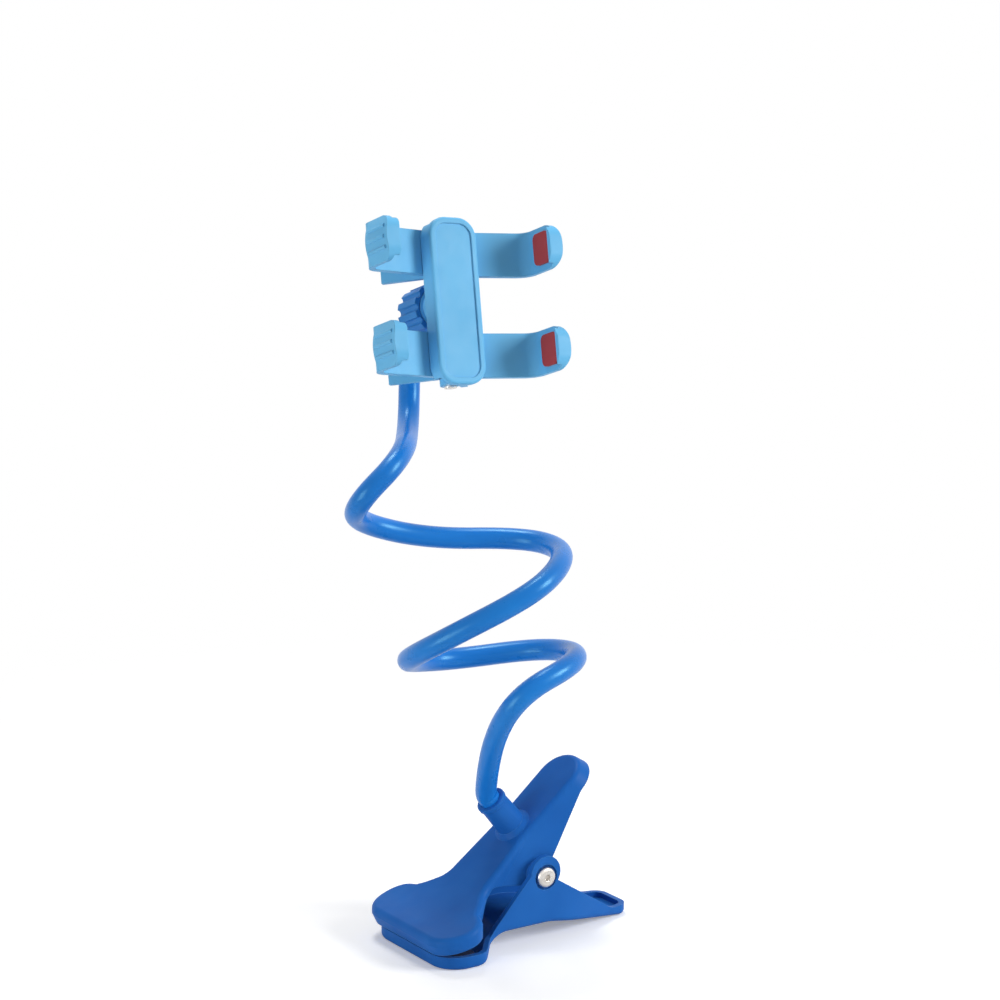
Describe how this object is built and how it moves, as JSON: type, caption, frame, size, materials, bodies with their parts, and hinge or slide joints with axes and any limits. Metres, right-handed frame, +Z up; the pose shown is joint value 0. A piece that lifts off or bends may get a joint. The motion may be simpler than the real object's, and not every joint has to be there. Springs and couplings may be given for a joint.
{
  "type": "phone gooseneck holder",
  "caption": "Sprung table clip with a coiled bendable gooseneck and a ball-jointed head whose sprung claws grip a phone by its sides.",
  "frame": {"origin": "on the flat underside of the clip's lower bill, at its middle", "axes": "+X from the bill to the tail of the clip, +Y across the clip, +Z up"},
  "size_m": [0.1195, 0.1007, 0.3031],
  "materials": {
    "clip_plastic": "satin moulded blue",
    "clip_pad": "dark blue soft rubber",
    "screw_steel": "nickel plated",
    "spring_steel": "drawn wire",
    "gooseneck_skin": "glossy soft blue",
    "core_wire": "annealed wire",
    "joint_plastic": "moulded blue",
    "claw_plastic": "moulded light blue",
    "finger_pad": "soft red rubber"
  },
  "bodies": {
    "clip_lower": {"lower_jaw": "clip_plastic", "lower_jaw_pad": "clip_pad", "pivot_screw": "screw_steel", "pivot_nut": "screw_steel", "clip_spring": "spring_steel"},
    "clip_upper": {"upper_jaw": "clip_plastic", "upper_jaw_pad": "clip_pad"},
    "gooseneck": {"gooseneck_sleeve": "gooseneck_skin", "gooseneck_core": "core_wire"},
    "stem": {"ball_stem": "joint_plastic"},
    "ball_nut": {"lock_nut": "joint_plastic"},
    "head": {"head_frame": "claw_plastic", "upper_claw_pin": "screw_steel", "upper_claw_spring": "spring_steel", "lower_claw_pin": "screw_steel", "lower_claw_spring": "spring_steel"},
    "upper_left": {"upper_left_claw": "claw_plastic", "upper_left_finger_pad": "finger_pad"},
    "upper_right": {"upper_right_claw": "claw_plastic", "upper_right_finger_pad": "finger_pad"},
    "lower_left": {"lower_left_claw": "claw_plastic", "lower_left_finger_pad": "finger_pad"},
    "lower_right": {"lower_right_claw": "claw_plastic", "lower_right_finger_pad": "finger_pad"}
  },
  "joints": [
    {"name": "clip_open", "type": "hinge", "parent": "clip_lower", "child": "clip_upper", "pos_m": [0.043, 0, 0.028], "axis": [0, 1, 0], "range_deg": [0, 40], "stiffness_Nm_per_rad": 1.2, "springref_deg": -57.3, "deforming": ["clip_spring"]},
    {"name": "neck_base_bend", "type": "hinge", "parent": "clip_upper", "child": "gooseneck", "pos_m": [0.02807, 0, 0.05905], "axis": [0, 1, 0], "range_deg": [-30, 30], "deforming": ["gooseneck_sleeve", "gooseneck_core"]},
    {"name": "neck_top_bend", "type": "hinge", "parent": "gooseneck", "child": "stem", "pos_m": [0.02266, 0.04785, 0.24403], "axis": [0.9945, -0.0314, -0.0997], "range_deg": [-30, 30], "deforming": ["gooseneck_sleeve", "gooseneck_core"]},
    {"name": "ball_tilt", "type": "hinge", "parent": "stem", "child": "ball_nut", "pos_m": [0.016, 0.02835, 0.25988], "axis": [-0.9945, 0.0314, 0.0997], "range_deg": [-8, 40]},
    {"name": "ball_turn", "type": "hinge", "parent": "ball_nut", "child": "head", "pos_m": [0.016, 0.02835, 0.25988], "axis": [0, 0.9537, -0.3007], "continuous": true},
    {"name": "upper_left_open", "type": "hinge", "parent": "head", "child": "upper_left", "pos_m": [0.01817, 0.0212, 0.28377], "axis": [-0.1045, -0.2991, -0.9485], "range_deg": [0, 20], "stiffness_Nm_per_rad": 0.15, "springref_deg": -57.3, "deforming": ["upper_claw_spring"]},
    {"name": "upper_right_open", "type": "hinge", "parent": "head", "child": "upper_right", "pos_m": [0.01817, 0.0212, 0.28377], "axis": [0.1045, 0.2991, 0.9485], "range_deg": [0, 20], "stiffness_Nm_per_rad": 0.15, "springref_deg": -57.3, "deforming": ["upper_claw_spring"]},
    {"name": "lower_left_open", "type": "hinge", "parent": "head", "child": "lower_left", "pos_m": [0.01383, 0.00879, 0.24441], "axis": [-0.1045, -0.2991, -0.9485], "range_deg": [0, 20], "stiffness_Nm_per_rad": 0.15, "springref_deg": -57.3, "deforming": ["lower_claw_spring"]},
    {"name": "lower_right_open", "type": "hinge", "parent": "head", "child": "lower_right", "pos_m": [0.01383, 0.00879, 0.24441], "axis": [0.1045, 0.2991, 0.9485], "range_deg": [0, 20], "stiffness_Nm_per_rad": 0.15, "springref_deg": -57.3, "deforming": ["lower_claw_spring"]}
  ]
}
